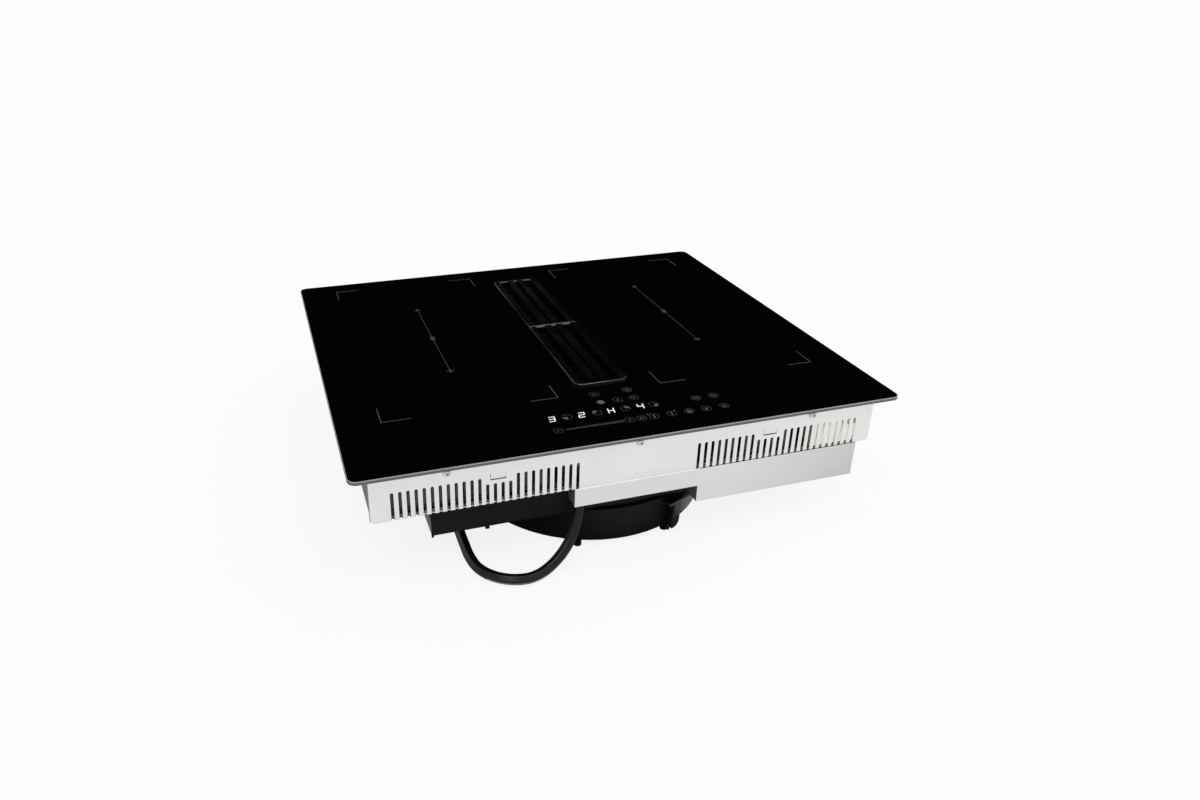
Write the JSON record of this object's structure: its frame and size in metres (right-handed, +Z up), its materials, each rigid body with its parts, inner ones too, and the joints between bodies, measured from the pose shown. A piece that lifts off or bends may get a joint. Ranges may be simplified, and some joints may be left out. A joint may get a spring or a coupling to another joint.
{
  "type": "downdraft induction cooktop",
  "caption": "Flat glass induction cooktop with a lift-out intake grille in its middle, a vented metal casing and a flat extractor fan housing with a rear duct outlet below.",
  "frame": {"origin": "on the bench, under the centre of the glass plate; the feet of the fan drum stand on it", "axes": "+X to the right along the front edge, +Y to the back where the duct leaves, +Z up"},
  "size_m": [0.59, 0.5218, 0.1568],
  "materials": {
    "black_glass": "polished black glass ceramic",
    "grille_paint": "satin black enamelled casting",
    "filter_mesh": "stretched aluminium mesh",
    "rubber": "soft black seal",
    "black_moulding": "fine textured black moulding",
    "zinc_sheet": "light zinc-plated sheet",
    "screw_steel": "bright plated steel",
    "motor_steel": "turned steel",
    "wheel_plastic": "grey moulding",
    "copper_litz": "enamelled copper strand",
    "white_plastic": "off-white moulding",
    "bare_aluminium": "mill finish",
    "circuit_board": "green solder mask",
    "display_window": "dark filter window",
    "cord_sheath": "black rubber sheath",
    "core_insulation": "coloured core insulation with crimped ends"
  },
  "bodies": {
    "hob": {"glass_top": "black_glass", "worktop_seal": "rubber", "well_gasket": "rubber", "intake_well": "black_moulding", "front_panel": "zinc_sheet", "rear_panel": "zinc_sheet", "side_panel_left": "zinc_sheet", "side_panel_right": "zinc_sheet", "bottom_pan": "zinc_sheet", "front_screw_left": "screw_steel", "front_screw_centre": "screw_steel", "front_screw_right": "screw_steel", "rear_screw_left": "screw_steel", "rear_screw_centre": "screw_steel", "rear_screw_right": "screw_steel", "front_lip": "zinc_sheet", "electronics_box": "zinc_sheet", "plenum_box": "black_moulding", "fan_inlet_plate": "black_moulding", "fan_drum": "black_moulding", "drum_clip": "black_moulding", "outlet_duct": "black_moulding", "fan_motor": "motor_steel", "coil_left_front": "copper_litz", "coil_left_rear": "copper_litz", "coil_right_front": "copper_litz", "coil_right_rear": "copper_litz", "coil_carrier_left_front": "white_plastic", "coil_carrier_left_rear": "white_plastic", "coil_carrier_right_front": "white_plastic", "coil_carrier_right_rear": "white_plastic", "coil_plate_left": "bare_aluminium", "coil_plate_right": "bare_aluminium", "power_board_left": "circuit_board", "power_board_right": "circuit_board", "heat_sink_left": "bare_aluminium", "heat_sink_right": "bare_aluminium", "cooling_fan_left": "black_moulding", "cooling_fan_right": "black_moulding", "control_board": "circuit_board", "touch_tray": "white_plastic", "touch_board": "circuit_board", "digit_display": "display_window", "terminal_block": "white_plastic", "cord_grip": "black_moulding", "mains_cord": "cord_sheath", "cord_coil": "cord_sheath", "cord_cores": "core_insulation"},
    "front_grille": {"grille_front": "grille_paint", "grease_filter_front": "bare_aluminium", "filter_mesh_front": "filter_mesh"},
    "rear_grille": {"grille_rear": "grille_paint", "grease_filter_rear": "bare_aluminium", "filter_mesh_rear": "filter_mesh"},
    "fan_rotor": {"fan_wheel": "wheel_plastic", "fan_wheel_hub": "wheel_plastic", "fan_shaft": "motor_steel"},
    "left_cooling_rotor": {"cooling_rotor_left": "wheel_plastic"},
    "right_cooling_rotor": {"cooling_rotor_right": "wheel_plastic"}
  },
  "joints": [
    {"name": "front_grille_lift", "type": "slide", "parent": "hob", "child": "front_grille", "axis": [0, 0, 1], "range_m": [0, 0.03]},
    {"name": "rear_grille_lift", "type": "slide", "parent": "hob", "child": "rear_grille", "axis": [0, 0, 1], "range_m": [0, 0.03]},
    {"name": "fan_spin", "type": "hinge", "parent": "hob", "child": "fan_rotor", "pos_m": [0, -0.084, 0.03], "axis": [0, 0, 1], "continuous": true},
    {"name": "left_cooling_spin", "type": "hinge", "parent": "hob", "child": "left_cooling_rotor", "pos_m": [-0.2, 0.18, 0.108], "axis": [0, 0, 1], "continuous": true},
    {"name": "right_cooling_spin", "type": "hinge", "parent": "hob", "child": "right_cooling_rotor", "pos_m": [0.2, 0.18, 0.108], "axis": [0, 0, 1], "continuous": true}
  ]
}
